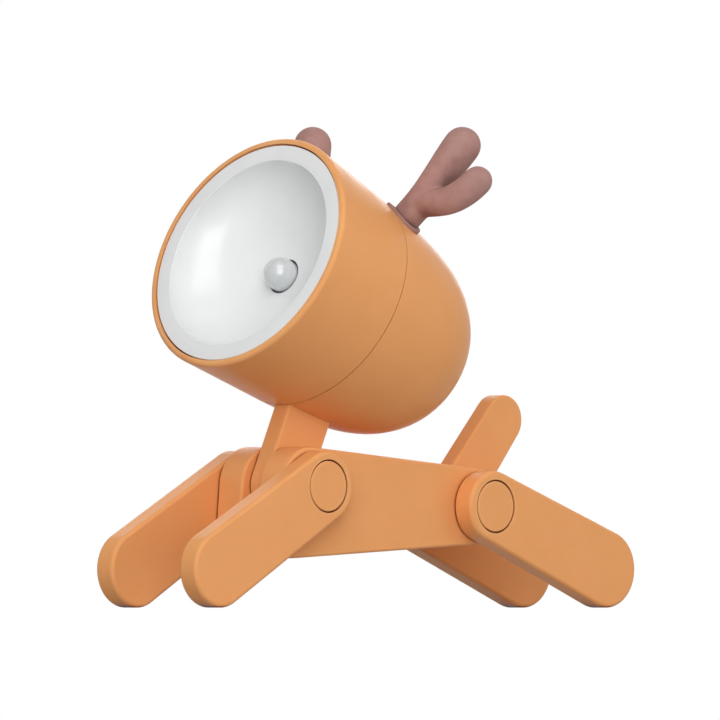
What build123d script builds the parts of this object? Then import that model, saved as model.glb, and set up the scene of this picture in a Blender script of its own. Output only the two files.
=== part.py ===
from build123d import *
import os
from math import asin, atan, cos, degrees, isclose, radians, sin, sqrt

# A small folding night light in the form of a young deer: a bell-shaped lamp head on a flat neck,
# a forked torso, four flat legs, a flat tail and two soft antlers. Lengths are millimetres.
# The deer faces -X, +Z is up, -Y is its left side, and the origin lies on the ground below the
# middle of its length.

# Stance: how far the legs drop below the horizontal and where the two pivots lie
front_leg_drop = 29.0
rear_leg_drop = 21.5
pivot_spacing = 43.2
head_pitch = 25.0
tail_lean = 40.3

# Legs and the screws and caps at their pivots
leg_length = 31.2
leg_hub_radius = 6.45
leg_foot_radius = 7.0
leg_thickness = 4.35
leg_edge_radius = 0.7
leg_gap = 0.15
cap_radius = 4.6
cap_thickness = 1.2
cap_edge_chamfer = 0.15
cap_groove = 0.3
leg_screw_radius = 1.3
leg_screw_head_radius = 2.6
leg_screw_head_height = 1.15
leg_screw_grip = 6.0
washer_radius = 3.0
washer_thickness = 0.3
head_pocket_radius = 3.5
stack_clearance = 0.06

# Torso and the two pivot sleeves
torso_width = 16.8
torso_ear_radius = 7.15
torso_rear_radius = 6.9
torso_chin_drop = 13.5
torso_chin_radius = 3.5
torso_edge_radius = 0.5
fork_edge_radius = 0.5
fork_clearance = 0.2
fork_end_clearance = 0.5
neck_slot_reach = 10.7
sleeve_radius = 2.5
sleeve_fit = 0.03
pivot_clearance = 0.05
screw_clearance = 0.06

# Neck and tail, two flat bars on the mid-plane
neck_width = 10.9
neck_thickness = 4.0
neck_rise = 35.2
neck_edge_radius = 0.4
neck_notch_clearance = 0.1
tee_width = 9.0
tee_height = 2.2
tee_clearance = 0.25
tail_length = 20.7
tail_root_radius = 5.05
tail_tip_radius = 4.5
tail_thickness = 3.7
tail_edge_radius = 0.5

# Head shells
rim_width = 1.2
rim_edge_radius = 0.7
seam_depth = 20.0
seam_radius = 21.4
seam_gap = 0.2
rear_length = 31.0
rear_outline_shares = ((0.419, 0.919), (0.724, 0.787), (0.906, 0.598))
shell_wall = 1.5
spigot_length = 3.0
spigot_wall = 1.3
spigot_root = 2.0
spigot_fit = 0.1

# Reflector in the mouth of the front shell
bowl_radius = 18.0
ring_width = 3.55
mouth_depth = 3.2
ring_fit = 0.25
ring_recess = 0.25
skirt_wall = 1.0
bowl_depth = 10.7
bowl_lip_radius = 0.6
reflector_wall = 1.2
led_hole_radius = 3.4
post_radius = 2.0
post_offset = 10.5

# Lamp, its leads and its round circuit board
led_radius = 3.05
led_centre_depth = 9.4
led_flange_radius = 3.7
led_flange_thickness = 1.0
led_clearance = 0.1
lead_radius = 0.25
lead_pitch = 2.54
lead_hole_clearance = 0.1
led_board_radius = 13.5
led_board_lift = 1.6
board_thickness = 1.0

# Battery stack behind the board
cell_radius = 5.8
cell_height = 3.05
cell_count = 3
cell_gap = 0.05
cell_edge_chamfer = 0.3
tray_clearance = 0.2
tray_wall = 1.2
spring_lift = 0.8
spring_sheet = 0.3
spring_radius = 4.5
spring_crown_radius = 1.6
strap_sheet = 0.3
strap_width = 4.0
strap_clearance = 0.05

# Switch, its board and the push button at the back of the head
switch_board_radius = 12.0
switch_size = 7.0
switch_height = 4.6
plunger_radius = 1.4
plunger_stand = 3.0
plunger_sink = 1.4
plunger_room = 1.2
button_radius = 4.0
button_clearance = 0.15
button_stand = 0.9
button_edge_radius = 0.4
button_flange_radius = 4.9
button_flange_thickness = 1.0
button_flange_inset = 0.9
boss_radius = 2.0
boss_offset = 9.0
wire_radius = 0.5
wire_height = 9.0
wire_spread = 2.5

# Screws of the two boards
board_screw_radius = 0.8
board_screw_head_radius = 1.6
board_screw_head_height = 0.9
board_screw_grip = 3.0
board_screw_fit = 0.03

# Antlers: a collar on the shell, a trunk with a long prong, and a side prong that turns outward and up
antler_seat_share = 0.079
antler_turn = 33.0
antler_lean = 4.0
collar_radius = 3.95
collar_thickness = 0.6
collar_skirt = 1.2
plug_radius = 2.0
plug_length = 4.5
plug_barb_radius = 2.5
plug_barb_length = 1.2
plug_clearance = 0.05
trunk_offset = 0.6
trunk_radius = 2.83
main_prong_rise = 17.0
main_prong_spread = -1.75
main_prong_heading = -10.0
main_prong_radius = 3.5
main_prong_swell_shares = (0.0, 0.03, 0.35, 0.75, 1.0)
side_prong_start = 3.9
side_prong_bend_rise = 8.65
side_prong_bend_spread = 6.05
side_prong_rise = 14.85
side_prong_spread = 8.15
side_prong_start_heading = 52.0
side_prong_end_heading = 2.0
side_prong_root_radius = 2.5
side_prong_radius = 2.8
side_prong_swell_shares = (0.0, 0.1, 0.4, 0.7, 0.9, 1.0)

# Every cut runs past its solid by this much
overrun = 1.0

# How near an edge lies to a fork's cheek to count as one of its edges
cheek_tolerance = 0.01

# Places that follow from the stance
front_drop = radians(front_leg_drop)
rear_drop = radians(rear_leg_drop)
front_pivot_z = leg_foot_radius + leg_length * sin(front_drop)
rear_pivot_z = leg_foot_radius + leg_length * sin(rear_drop)
torso_fall = asin((front_pivot_z - rear_pivot_z) / pivot_spacing)
pivot_run = pivot_spacing * cos(torso_fall)
front_reach = leg_length * cos(front_drop) + leg_foot_radius
rear_reach = leg_length * cos(rear_drop) + leg_foot_radius
front_pivot_x = (front_reach - rear_reach - pivot_run) / 2
rear_pivot_x = front_pivot_x + pivot_run
front_pivot = Vector(front_pivot_x, 0, front_pivot_z)
rear_pivot = Vector(rear_pivot_x, 0, rear_pivot_z)
torso_half = torso_width / 2
leg_inner_face = torso_half + leg_gap

# Directions of the head: up its face, back along its axis and to the deer's left
pitch = radians(head_pitch)
up_dir = Vector(sin(pitch), 0, cos(pitch))
back_dir = Vector(cos(pitch), 0, -sin(pitch))
left_dir = Vector(0, -1, 0)
rim_centre = front_pivot + up_dir * neck_rise - back_dir * (seam_depth + neck_width / 2)
head_plane = Plane(origin=rim_centre, x_dir=up_dir, z_dir=back_dir)
section_plane = Plane(origin=rim_centre, x_dir=back_dir, z_dir=left_dir)
head_axis = Axis(rim_centre, back_dir)
head_length = seam_depth + rear_length

# Depths behind the rim of what stands in a row inside the head
led_flange_front = bowl_depth + reflector_wall + led_clearance
led_flange_back = led_flange_front + led_flange_thickness
led_board_front = led_flange_back + led_board_lift
led_board_back = led_board_front + board_thickness
cells_front = led_board_back + spring_lift
cells_back = cells_front + cell_count * cell_height + (cell_count - 1) * cell_gap
button_flange_back = head_length - shell_wall - button_flange_inset
button_front = button_flange_back - button_flange_thickness
switch_top = button_front - plunger_stand
switch_board_back = switch_top - switch_height
switch_board_front = switch_board_back - board_thickness
tray_radius = cell_radius + tray_clearance + tray_wall

# Radii about the head's axis, from the bowl outward, and the place of the neck's tee
ring_radius = bowl_radius + ring_width
mouth_radius = ring_radius + ring_fit
rim_radius = mouth_radius + rim_width
spigot_radius = seam_radius - shell_wall - spigot_fit
spigot_bore = spigot_radius - spigot_wall
tee_radius = sqrt((spigot_bore - tee_clearance) ** 2 - (tee_width / 2) ** 2)
tee_top = neck_rise - tee_radius + tee_height


def side_plane(pivot: Vector, rise_deg: float) -> Plane:
    """Plane square to Y at a pivot, its own X rising at rise_deg, its normal to the left side."""
    angle = radians(rise_deg)
    x_dir = Vector(cos(angle), 0, sin(angle))
    return Plane(origin=pivot, x_dir=x_dir, z_dir=left_dir)


def leg_plane(pivot: Vector, rise_deg: float, side: int) -> Plane:
    """Plane of a leg's inner face, its own X towards the foot, its normal away from the torso."""
    angle = radians(rise_deg)
    x_dir = Vector(cos(angle), 0, sin(angle))
    return Plane(origin=pivot + left_dir * (side * leg_inner_face), x_dir=x_dir, z_dir=left_dir * side)


def cone_radius(depth: float) -> float:
    """Outer radius of the front shell at a depth behind the rim."""
    return rim_radius - (rim_radius - seam_radius) * depth / seam_depth


def rear_curve(length: float, radius: float) -> Spline:
    """Outline of the rear shell from the seam to the pole, tangent to the front shell's cone."""
    cone = atan((rim_radius - seam_radius) / seam_depth)
    between = [(seam_depth + length * along, radius * out) for along, out in rear_outline_shares]
    points = [(seam_depth, radius), *between, (seam_depth + length, 0)]
    return Spline(*points, tangents=((cos(cone), -sin(cone)), (0, -1)))


def make_leg(plane: Plane) -> Part:
    """A flat leg with a stepped pocket at its hub for the washer, the screw head and the cap."""
    pocket_depth = leg_screw_head_height + washer_thickness + 2 * stack_clearance
    with BuildPart() as leg:
        with BuildSketch(plane):
            Circle(leg_hub_radius)
            with Locations((leg_length, 0)):
                Circle(leg_foot_radius)
            make_hull()
        extrude(amount=leg_thickness)
        fillet(leg.faces().filter_by(Axis.Y).edges(), leg_edge_radius)
        with BuildSketch(plane.offset(leg_thickness)):
            Circle(cap_radius + cap_groove)
        extrude(amount=-cap_thickness, mode=Mode.SUBTRACT)
        with Locations(plane.offset(leg_thickness - cap_thickness)):
            CounterBoreHole(leg_screw_radius + screw_clearance, head_pocket_radius, pocket_depth)
    return leg.part


def make_cap(plane: Plane) -> Part:
    """The flush disc that closes the pocket over a leg's screw."""
    with BuildPart() as cap:
        with BuildSketch(plane.offset(leg_thickness - cap_thickness)):
            Circle(cap_radius)
        extrude(amount=cap_thickness)
        rim = cap.faces().filter_by(Axis.Y).sort_by(Axis(plane.origin, plane.z_dir))[-1].edges()
        chamfer(rim, cap_edge_chamfer)
    return cap.part


def make_leg_washers(planes: list[Plane]) -> Part:
    """Spring washers between the leg pockets and the screw heads."""
    floor = leg_thickness - cap_thickness - leg_screw_head_height - washer_thickness - stack_clearance
    with BuildPart() as washers:
        with BuildSketch(*[plane.offset(floor) for plane in planes]):
            Circle(washer_radius)
            Circle(leg_screw_radius + screw_clearance, mode=Mode.SUBTRACT)
        extrude(amount=washer_thickness)
    return washers.part


def make_leg_screws(planes: list[Plane]) -> Part:
    """Pan-head screws through the legs into the ends of a pivot sleeve."""
    seat = leg_thickness - cap_thickness - leg_screw_head_height - stack_clearance
    with BuildPart() as screws:
        with BuildSketch(*[plane.offset(seat) for plane in planes]):
            Circle(leg_screw_head_radius)
        extrude(amount=leg_screw_head_height)
        with BuildSketch(*[plane.offset(seat) for plane in planes]):
            Circle(leg_screw_radius)
        extrude(amount=-(seat + leg_gap + leg_screw_grip))
    return screws.part


def make_sleeve(pivot: Vector) -> Part:
    """A pivot sleeve that crosses the torso, threaded at both ends for the leg screws."""
    with BuildPart() as sleeve:
        with BuildSketch(side_plane(pivot, 0)):
            Circle(sleeve_radius)
            Circle(leg_screw_radius + sleeve_fit, mode=Mode.SUBTRACT)
        extrude(amount=torso_half, both=True)
    return sleeve.part


def make_board_screws(plane: Plane, offset: float) -> Part:
    """Two pan-head screws, heads on the plane and shanks against its normal."""
    with BuildPart() as screws:
        with BuildSketch(plane):
            with Locations((0, offset), (0, -offset)):
                Circle(board_screw_head_radius)
        extrude(amount=board_screw_head_height)
        with BuildSketch(plane):
            with Locations((0, offset), (0, -offset)):
                Circle(board_screw_radius)
        extrude(amount=-(board_thickness + board_screw_grip))
    return screws.part


def antler_plane(side: int) -> Plane:
    """Seat of an antler on the rear shell, its normal up the trunk and its own X outward."""
    seat = rear_curve(rear_length, seam_radius) @ antler_seat_share
    turn = radians(antler_turn)
    lean = radians(antler_lean)
    radial = up_dir * cos(turn) + left_dir * (side * sin(turn))
    outward = left_dir * (side * cos(turn)) - up_dir * sin(turn)
    trunk_dir = radial * cos(lean) + back_dir * sin(lean)
    return Plane(origin=rim_centre + back_dir * seat.X + radial * seat.Y, x_dir=outward, z_dir=trunk_dir)


def make_prong(plane: Plane, points: tuple, headings: tuple, radii: tuple, swell_shares: tuple) -> Part:
    """A round prong along a bent line in the antler's plane, closed by a ball at its tip."""
    tangents = [(sin(radians(heading)), cos(radians(heading))) for heading in headings]
    path = Spline(*points, tangents=tangents)
    root_radius, tip_radius = radii
    with BuildPart() as prong:
        for index, swell in enumerate(swell_shares):
            share = index / (len(swell_shares) - 1)
            point, heading = path @ share, path % share
            centre = plane.from_local_coords(Vector(point.X, 0, point.Y))
            along = plane.x_dir * heading.X + plane.z_dir * heading.Y
            with BuildSketch(Plane(origin=centre, x_dir=plane.y_dir, z_dir=along)):
                Circle(root_radius + (tip_radius - root_radius) * swell)
        loft()
        with Locations(Plane(origin=centre, x_dir=plane.y_dir, z_dir=along)):
            Sphere(tip_radius)
    return prong.part


def make_antler(head_form: Part) -> Part:
    """The left antler, its collar fitted to the shells and its plug through the rear shell's wall."""
    plane = antler_plane(1)
    main_prong = make_prong(
        plane,
        ((trunk_offset, 0), (main_prong_spread, main_prong_rise)),
        (0, main_prong_heading),
        (trunk_radius, main_prong_radius),
        main_prong_swell_shares,
    )
    side_prong = make_prong(
        plane,
        (
            (trunk_offset, side_prong_start),
            (side_prong_bend_spread, side_prong_bend_rise),
            (side_prong_spread, side_prong_rise),
        ),
        (side_prong_start_heading, side_prong_end_heading),
        (side_prong_root_radius, side_prong_radius),
        side_prong_swell_shares,
    )
    with BuildPart() as antler:
        add(main_prong)
        add(side_prong)
        with BuildSketch(plane.offset(collar_thickness)):
            Circle(collar_radius)
        extrude(amount=-(collar_thickness + collar_skirt))
        add(head_form, mode=Mode.SUBTRACT)
        with BuildSketch(plane.offset(collar_thickness)):
            Circle(plug_radius)
        extrude(amount=-(collar_thickness + plug_length))
        with BuildSketch(plane.offset(-plug_length)):
            Circle(plug_radius)
        with BuildSketch(plane.offset(plug_barb_length - plug_length)):
            Circle(plug_barb_radius)
        loft()
    return antler.part


# The torso: a round-ended block with a fork at each end, tied by a chin below the neck
torso_plane = side_plane(front_pivot, -degrees(torso_fall))
neck_slot_half = neck_thickness / 2 + fork_clearance
neck_slot_floor = -neck_width / 2 - fork_end_clearance
tail_slot_half = tail_thickness / 2 + fork_clearance
tail_slot_start = pivot_spacing - tail_root_radius - fork_end_clearance


def is_fork_edge(edge: Edge) -> bool:
    """Whether an edge is an outer one of a fork's inner cheeks, clear of the slot's floor and end."""
    at = torso_plane.to_local_coords(edge.center())
    if at.X < neck_slot_reach:
        on_cheek = isclose(abs(at.Z), neck_slot_half, abs_tol=cheek_tolerance)
        return on_cheek and not isclose(at.Y, neck_slot_floor, abs_tol=cheek_tolerance)
    on_cheek = isclose(abs(at.Z), tail_slot_half, abs_tol=cheek_tolerance)
    return on_cheek and at.X > tail_slot_start + cheek_tolerance


with BuildPart() as torso:
    with BuildSketch(torso_plane):
        Circle(torso_ear_radius)
        with Locations((pivot_spacing, 0)):
            Circle(torso_rear_radius)
        with Locations((torso_chin_radius - torso_ear_radius, torso_chin_radius - torso_chin_drop)):
            Circle(torso_chin_radius)
        make_hull()
    extrude(amount=torso_half, both=True)
    fillet(torso.faces().filter_by(Axis.Y).edges(), torso_edge_radius)
    with BuildSketch(torso_plane):
        with Locations((neck_slot_reach, neck_slot_floor)):
            Rectangle(
                neck_slot_reach + torso_ear_radius + overrun,
                torso_ear_radius + overrun - neck_slot_floor,
                align=(Align.MAX, Align.MIN),
            )
    extrude(amount=neck_slot_half, both=True, mode=Mode.SUBTRACT)
    with BuildSketch(torso_plane):
        with Locations((tail_slot_start, 0)):
            Rectangle(
                pivot_spacing + torso_rear_radius + overrun - tail_slot_start,
                2 * (torso_chin_drop + overrun),
                align=(Align.MIN, Align.CENTER),
            )
    extrude(amount=tail_slot_half, both=True, mode=Mode.SUBTRACT)
    fillet(torso.edges().filter_by(is_fork_edge), fork_edge_radius)
    with BuildSketch(torso_plane):
        with Locations((0, 0), (pivot_spacing, 0)):
            Circle(sleeve_radius + sleeve_fit)
    extrude(amount=torso_half + overrun, both=True, mode=Mode.SUBTRACT)

# The neck: a round-eyed bar whose tee head is held inside the rear shell
neck_plane = Plane(origin=front_pivot, x_dir=up_dir, z_dir=left_dir)
with BuildPart() as neck:
    with BuildSketch(neck_plane):
        Circle(neck_width / 2)
        Rectangle(tee_top, neck_width, align=(Align.MIN, Align.CENTER))
    extrude(amount=neck_thickness / 2, both=True)
    fillet(neck.faces().filter_by(Axis.Y).edges(), neck_edge_radius)
    with BuildSketch(neck_plane):
        with Locations((tee_top, 0)):
            Rectangle(tee_height, neck_width, align=(Align.MAX, Align.CENTER))
    extrude(amount=tee_width / 2, both=True)
    with BuildSketch(neck_plane):
        Circle(sleeve_radius + pivot_clearance)
    extrude(amount=torso_half, both=True, mode=Mode.SUBTRACT)

# The tail: a slightly tapered bar on the rear pivot
with BuildPart() as tail:
    tail_plane = side_plane(rear_pivot, 90 - tail_lean)
    with BuildSketch(tail_plane):
        Circle(tail_root_radius)
        with Locations((tail_length, 0)):
            Circle(tail_tip_radius)
        make_hull()
    extrude(amount=tail_thickness / 2, both=True)
    fillet(tail.faces().filter_by(Axis.Y).edges(), tail_edge_radius)
    with BuildSketch(tail_plane):
        Circle(sleeve_radius + pivot_clearance)
    extrude(amount=torso_half, both=True, mode=Mode.SUBTRACT)

# The front shell: a slightly tapered ring with a stepped mouth for the reflector
with BuildPart() as head_front_shell:
    shell_end = seam_depth - seam_gap
    with BuildSketch(section_plane):
        with BuildLine():
            Polyline(
                (0, mouth_radius),
                (0, rim_radius),
                (shell_end, cone_radius(shell_end)),
                (shell_end, cone_radius(shell_end) - shell_wall),
                (mouth_depth, cone_radius(mouth_depth) - shell_wall),
                (mouth_depth, mouth_radius),
                close=True,
            )
        make_face()
    revolve(axis=head_axis)
    rim_edge = head_front_shell.edges().filter_by(GeomType.CIRCLE).sort_by(SortBy.RADIUS)[-1]
    fillet(rim_edge, rim_edge_radius)

# The full outer form of the rear shell
with BuildPart() as rear_form:
    with BuildSketch(section_plane):
        with BuildLine():
            add(rear_curve(rear_length, seam_radius))
            Polyline((head_length, 0), (seam_depth, 0), (seam_depth, seam_radius))
        make_face()
    revolve(axis=head_axis)

# The head's full outer form, which trims the antlers' collars where they reach over the seam
with BuildPart() as head_form:
    with BuildSketch(section_plane):
        with BuildLine():
            Polyline((0, 0), (0, rim_radius), (seam_depth, seam_radius), (seam_depth, 0), close=True)
        make_face()
    revolve(axis=head_axis)
    add(rear_form.part)

# The hollow of the rear shell, less the two bosses of the switch board
with BuildPart() as rear_hollow:
    with BuildSketch(section_plane):
        with BuildLine():
            add(rear_curve(rear_length - shell_wall, seam_radius - shell_wall))
            Polyline((head_length - shell_wall, 0), (seam_depth, 0), (seam_depth, seam_radius - shell_wall))
        make_face()
    revolve(axis=head_axis)
    with BuildSketch(head_plane.offset(switch_board_back)):
        with Locations((0, boss_offset), (0, -boss_offset)):
            Circle(boss_radius)
    extrude(amount=rear_length, mode=Mode.SUBTRACT)

# The rear shell: a thin bowl with a spigot for the front shell and seats for what it carries
with BuildPart() as head_rear_shell:
    add(rear_form.part)
    add(rear_hollow.part, mode=Mode.SUBTRACT)
    with BuildSketch(section_plane):
        with BuildLine():
            Polyline(
                (seam_depth - spigot_length, spigot_bore),
                (seam_depth - spigot_length, spigot_radius),
                (seam_depth, spigot_radius),
                (seam_depth, seam_radius - shell_wall / 2),
                (seam_depth + spigot_root, seam_radius - shell_wall / 2),
                (seam_depth + spigot_root, spigot_bore),
                close=True,
            )
        make_face()
    revolve(axis=head_axis)
    with BuildSketch(section_plane):
        with Locations((seam_depth, overrun - spigot_bore)):
            Rectangle(
                neck_width + neck_notch_clearance,
                seam_radius - spigot_bore + 2 * overrun,
                align=(Align.MIN, Align.MAX),
            )
    extrude(amount=neck_thickness / 2 + neck_notch_clearance, both=True, mode=Mode.SUBTRACT)
    for antler_side in (1, -1):
        with BuildSketch(antler_plane(antler_side).offset(overrun)):
            Circle(plug_radius + plug_clearance)
        extrude(amount=-(overrun + plug_length), mode=Mode.SUBTRACT)
    with BuildSketch(head_plane.offset(switch_top)):
        Circle(button_radius + button_clearance)
    extrude(amount=rear_length, mode=Mode.SUBTRACT)
    with BuildSketch(head_plane.offset(switch_board_back)):
        with Locations((0, boss_offset), (0, -boss_offset)):
            Circle(board_screw_radius + board_screw_fit)
    extrude(amount=board_screw_grip, mode=Mode.SUBTRACT)

# The reflector: a ring in the mouth, a bowl and two posts for the lamp's board
bowl_run = bowl_depth - ring_recess
with BuildPart() as reflector:
    ring_back = ring_recess + reflector_wall
    with BuildSketch(section_plane):
        with BuildLine():
            Polyline(
                (ring_back + bowl_run, 0),
                (ring_recess, 0),
                (ring_recess, ring_radius),
                (mouth_depth, ring_radius),
                (mouth_depth, ring_radius - skirt_wall),
                (ring_back, ring_radius - skirt_wall),
                (ring_back, bowl_radius + reflector_wall),
            )
            EllipticalCenterArc((ring_back, 0), bowl_run, bowl_radius + reflector_wall, arc_size=90)
        make_face()
    revolve(axis=head_axis)
    with BuildSketch(head_plane.offset(ring_back)):
        with Locations((0, post_offset), (0, -post_offset)):
            Circle(post_radius)
    extrude(amount=led_board_front - ring_back)
    with BuildSketch(section_plane):
        with BuildLine():
            Polyline((bowl_depth, 0), (ring_recess, 0), (ring_recess, bowl_radius))
            EllipticalCenterArc((ring_recess, 0), bowl_run, bowl_radius, arc_size=90)
        make_face()
    revolve(axis=head_axis, mode=Mode.SUBTRACT)
    lip_edge = reflector.edges().filter_by(GeomType.CIRCLE).sort_by(
        lambda edge: abs(edge.radius - bowl_radius) + (edge.center() - rim_centre).length
    )[0]
    fillet(lip_edge, bowl_lip_radius)
    with BuildSketch(head_plane):
        Circle(led_hole_radius)
    extrude(amount=led_flange_front, mode=Mode.SUBTRACT)
    with BuildSketch(head_plane.offset(led_board_front)):
        with Locations((0, post_offset), (0, -post_offset)):
            Circle(board_screw_radius + board_screw_fit)
    extrude(amount=-board_screw_grip, mode=Mode.SUBTRACT)

# The lamp: a clear dome on a flanged foot
with BuildPart() as led_lamp:
    with BuildSketch(section_plane):
        with BuildLine():
            CenterArc((led_centre_depth, 0), led_radius, 90, 90)
            Polyline(
                (led_centre_depth, led_radius),
                (led_flange_front, led_radius),
                (led_flange_front, led_flange_radius),
                (led_flange_back, led_flange_radius),
                (led_flange_back, 0),
                (led_centre_depth - led_radius, 0),
            )
        make_face()
    revolve(axis=head_axis)

# Two leads from the lamp's foot through the board
with BuildPart() as led_leads:
    with BuildSketch(head_plane.offset(led_flange_back)):
        with Locations((0, lead_pitch / 2), (0, -lead_pitch / 2)):
            Circle(lead_radius)
    extrude(amount=led_board_lift + board_thickness + spring_lift - spring_sheet - lead_hole_clearance)

# The lamp's board on the reflector's posts
with BuildPart() as led_board:
    with BuildSketch(head_plane.offset(led_board_front)):
        Circle(led_board_radius)
        with Locations((0, post_offset), (0, -post_offset)):
            Circle(board_screw_radius + board_screw_fit, mode=Mode.SUBTRACT)
        with Locations((0, lead_pitch / 2), (0, -lead_pitch / 2)):
            Circle(lead_radius + lead_hole_clearance, mode=Mode.SUBTRACT)
    extrude(amount=board_thickness)

# The battery tube behind the board
with BuildPart() as battery_tube:
    with BuildSketch(head_plane.offset(led_board_back)):
        Circle(tray_radius)
        Circle(cell_radius + tray_clearance, mode=Mode.SUBTRACT)
    extrude(amount=cells_back - led_board_back)

# Button cells in a stack
with BuildPart() as button_cells:
    cell_planes = [
        head_plane.offset(cells_front + index * (cell_height + cell_gap)) for index in range(cell_count)
    ]
    with BuildSketch(*cell_planes):
        Circle(cell_radius)
    extrude(amount=cell_height)
    chamfer(button_cells.edges().filter_by(GeomType.CIRCLE), cell_edge_chamfer)

# A dished spring sheet between the board and the first cell
with BuildPart() as contact_spring:
    with BuildSketch(section_plane):
        with BuildLine():
            Polyline(
                (led_board_back, spring_radius),
                (led_board_back + spring_sheet, spring_radius),
                (cells_front, spring_crown_radius),
                (cells_front, 0),
                (cells_front - spring_sheet, 0),
                (cells_front - spring_sheet, spring_crown_radius),
                close=True,
            )
        make_face()
    revolve(axis=head_axis)

# A strap over the last cell with both legs down to the board
strap_inside = tray_radius + strap_clearance
strap_front = cells_back + strap_clearance
with BuildPart() as contact_strap:
    with BuildSketch(section_plane):
        with Locations((led_board_back, 0)):
            Rectangle(
                strap_front + strap_sheet - led_board_back,
                2 * (strap_inside + strap_sheet),
                align=(Align.MIN, Align.CENTER),
            )
            Rectangle(
                strap_front - led_board_back,
                2 * strap_inside,
                align=(Align.MIN, Align.CENTER),
                mode=Mode.SUBTRACT,
            )
    extrude(amount=strap_width / 2, both=True)

# The switch's board on the two bosses of the rear shell
with BuildPart() as switch_board:
    with BuildSketch(head_plane.offset(switch_board_front)):
        Circle(switch_board_radius)
        with Locations((0, boss_offset), (0, -boss_offset)):
            Circle(board_screw_radius + board_screw_fit, mode=Mode.SUBTRACT)
    extrude(amount=board_thickness)

# The push switch and its plunger
with BuildPart() as switch_body:
    with BuildSketch(head_plane.offset(switch_board_back)):
        Rectangle(switch_size, switch_size)
    extrude(amount=switch_height)
    with BuildSketch(head_plane.offset(switch_top)):
        Circle(plunger_radius + pivot_clearance)
    extrude(amount=-(plunger_sink + plunger_room), mode=Mode.SUBTRACT)

with BuildPart() as switch_plunger:
    with BuildSketch(head_plane.offset(switch_top - plunger_sink)):
        Circle(plunger_radius)
    extrude(amount=button_front - switch_top + plunger_sink)

# The push button, kept in by its flange behind the pole of the rear shell
with BuildPart() as push_button:
    with BuildSketch(head_plane.offset(button_front)):
        Circle(button_flange_radius)
    extrude(amount=button_flange_thickness)
    with BuildSketch(head_plane.offset(button_front)):
        Circle(button_radius)
    extrude(amount=head_length + button_stand - button_front)
    face_edge = push_button.faces().sort_by(head_axis)[-1].edges()
    fillet(face_edge, button_edge_radius)

# Two wires from the lamp's board to the switch's board
with BuildPart() as switch_wires:
    with BuildSketch(head_plane.offset(led_board_back)):
        with Locations((wire_height, wire_spread), (wire_height, -wire_spread)):
            Circle(wire_radius)
    extrude(amount=switch_board_front - led_board_back)

# The two antlers are alike, so the right one mirrors the left one
antler_left = make_antler(head_form.part)
with BuildPart() as antler_right:
    mirror(antler_left, about=Plane.XZ)

# Legs, caps, screws, washers and sleeves from the same planes
leg_planes = {
    "front_left": leg_plane(front_pivot, 180 + front_leg_drop, 1),
    "front_right": leg_plane(front_pivot, 180 + front_leg_drop, -1),
    "rear_left": leg_plane(rear_pivot, -rear_leg_drop, 1),
    "rear_right": leg_plane(rear_pivot, -rear_leg_drop, -1),
}
front_planes = [leg_planes["front_left"], leg_planes["front_right"]]
rear_planes = [leg_planes["rear_left"], leg_planes["rear_right"]]
switch_screw_plane = Plane(
    origin=rim_centre + back_dir * switch_board_front, x_dir=up_dir, z_dir=back_dir * -1
)

pieces = {
    "torso": torso.part,
    "front_pivot_sleeve": make_sleeve(front_pivot),
    "rear_pivot_sleeve": make_sleeve(rear_pivot),
    "front_leg_screws": make_leg_screws(front_planes),
    "rear_leg_screws": make_leg_screws(rear_planes),
    "leg_spring_washers": make_leg_washers(front_planes + rear_planes),
    "neck": neck.part,
    "tail": tail.part,
    "head_front_shell": head_front_shell.part,
    "head_rear_shell": head_rear_shell.part,
    "reflector": reflector.part,
    "led_lamp": led_lamp.part,
    "led_leads": led_leads.part,
    "led_board": led_board.part,
    "led_board_screws": make_board_screws(head_plane.offset(led_board_back), post_offset),
    "battery_tube": battery_tube.part,
    "button_cells": button_cells.part,
    "contact_spring": contact_spring.part,
    "contact_strap": contact_strap.part,
    "switch_board": switch_board.part,
    "switch_board_screws": make_board_screws(switch_screw_plane, boss_offset),
    "switch_body": switch_body.part,
    "switch_plunger": switch_plunger.part,
    "push_button": push_button.part,
    "switch_wires": switch_wires.part,
    "antler_left": antler_left,
    "antler_right": antler_right.part,
}
for place, plane in leg_planes.items():
    pieces[f"{place}_leg"] = make_leg(plane)
    pieces[f"{place}_cap"] = make_cap(plane)

os.makedirs("parts", exist_ok=True)
for name, piece in pieces.items():
    piece.label = name
    export_step(piece, f"parts/{name}.step")
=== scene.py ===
"""Looks of a small folding night light in the form of a young deer.

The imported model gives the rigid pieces. This script dresses them, replaces the soft antlers, the
reflector and the lamp with fuller pieces, and sets up the floor, the light and the camera. Lengths
are metres unless a comment says otherwise.
"""
import logging
import math
from dataclasses import dataclass, field, replace
from enum import Enum
from typing import Iterable, Sequence

import bmesh
import bpy
from mathutils import Matrix, Vector


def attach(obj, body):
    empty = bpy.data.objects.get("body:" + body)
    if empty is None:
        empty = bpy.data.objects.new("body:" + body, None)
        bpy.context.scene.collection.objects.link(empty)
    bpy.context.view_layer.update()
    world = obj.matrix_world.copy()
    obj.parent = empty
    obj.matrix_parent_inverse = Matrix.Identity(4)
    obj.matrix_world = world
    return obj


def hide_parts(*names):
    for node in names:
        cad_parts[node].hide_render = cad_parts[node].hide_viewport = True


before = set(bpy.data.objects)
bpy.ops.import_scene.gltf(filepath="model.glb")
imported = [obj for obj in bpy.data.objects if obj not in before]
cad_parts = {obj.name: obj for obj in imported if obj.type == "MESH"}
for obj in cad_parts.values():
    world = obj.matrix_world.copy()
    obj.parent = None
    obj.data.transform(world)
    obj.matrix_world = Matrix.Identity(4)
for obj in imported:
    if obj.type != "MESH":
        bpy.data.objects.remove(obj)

LOG = logging.getLogger("night_light")
MM = 0.001
Colour = tuple[float, float, float, float]
Limits = tuple[float, float]
Triple = tuple[float, float, float]
Profile = Sequence[tuple[float, float]]
Socket = bpy.types.NodeSocket

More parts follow.
